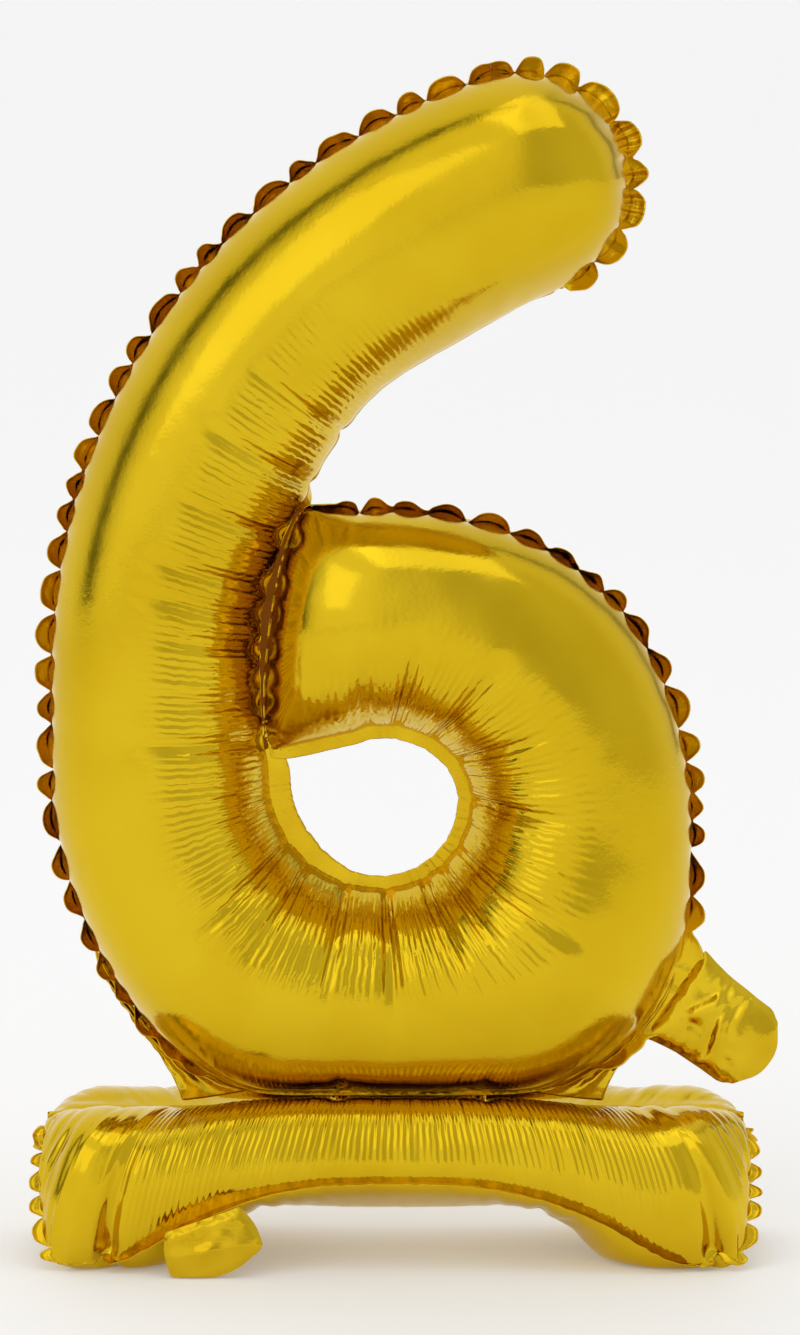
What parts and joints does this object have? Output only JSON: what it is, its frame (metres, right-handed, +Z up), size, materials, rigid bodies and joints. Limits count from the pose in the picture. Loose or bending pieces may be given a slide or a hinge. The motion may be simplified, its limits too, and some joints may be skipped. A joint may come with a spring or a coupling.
{
  "type": "self-standing foil number balloon",
  "caption": "Inflated metallised-film figure six balloon on an inflated four-footed base of the same film, with heat-sealed edges, filling tabs and self-closing film valves.",
  "frame": {"origin": "on the floor, under the middle of the balloon's whole outline; the seam plane of the figure is y = 0", "axes": "+Z up, the figure lies in the XZ plane and faces -Y, +X is to the viewer's right"},
  "size_m": [0.2375, 0.0883, 0.3798],
  "materials": {
    "gold_foil": "mirror-like metallised polyester film with a clear yellow lacquer",
    "gold_foil_seal": "the same film, heat-sealed flat in two layers and finely puckered",
    "clear_film": "thin clear polyethylene film, hidden inside"
  },
  "bodies": {
    "base": {"base_front_panel": "gold_foil", "base_back_panel": "gold_foil", "base_gusset_panel": "gold_foil", "base_top_seal": "gold_foil_seal", "base_front_seal": "gold_foil_seal", "base_back_seal": "gold_foil_seal", "base_valve_film_front": "clear_film", "base_valve_film_back": "clear_film"},
    "number": {"number_front_panel": "gold_foil", "number_back_panel": "gold_foil", "number_edge_seal": "gold_foil_seal", "waist_web_left": "gold_foil_seal", "waist_web_right": "gold_foil_seal", "number_valve_film_front": "clear_film", "number_valve_film_back": "clear_film"},
    "number_tab": {"number_tab_front_layer": "gold_foil_seal", "number_tab_back_layer": "gold_foil_seal"},
    "base_tab": {"base_tab_front_layer": "gold_foil_seal", "base_tab_back_layer": "gold_foil_seal"}
  },
  "joints": [
    {"name": "waist_lean", "type": "hinge", "parent": "base", "child": "number", "pos_m": [0, 0, 0.0475], "axis": [1, 0, 0], "range_deg": [-5, 5], "stiffness_Nm_per_rad": 0.08},
    {"name": "number_tab_bend", "type": "hinge", "parent": "number", "child": "number_tab", "pos_m": [0.08853, 0, 0.08265], "axis": [0.5878, 0, 0.809], "range_deg": [-60, 60], "stiffness_Nm_per_rad": 0.0002},
    {"name": "base_tab_bend", "type": "hinge", "parent": "base", "child": "base_tab", "pos_m": [-0.05813, -0.04335, 0.0193], "axis": [0.9168, 0, 0.3993], "range_deg": [-75, 5], "stiffness_Nm_per_rad": 0.0002}
  ]
}
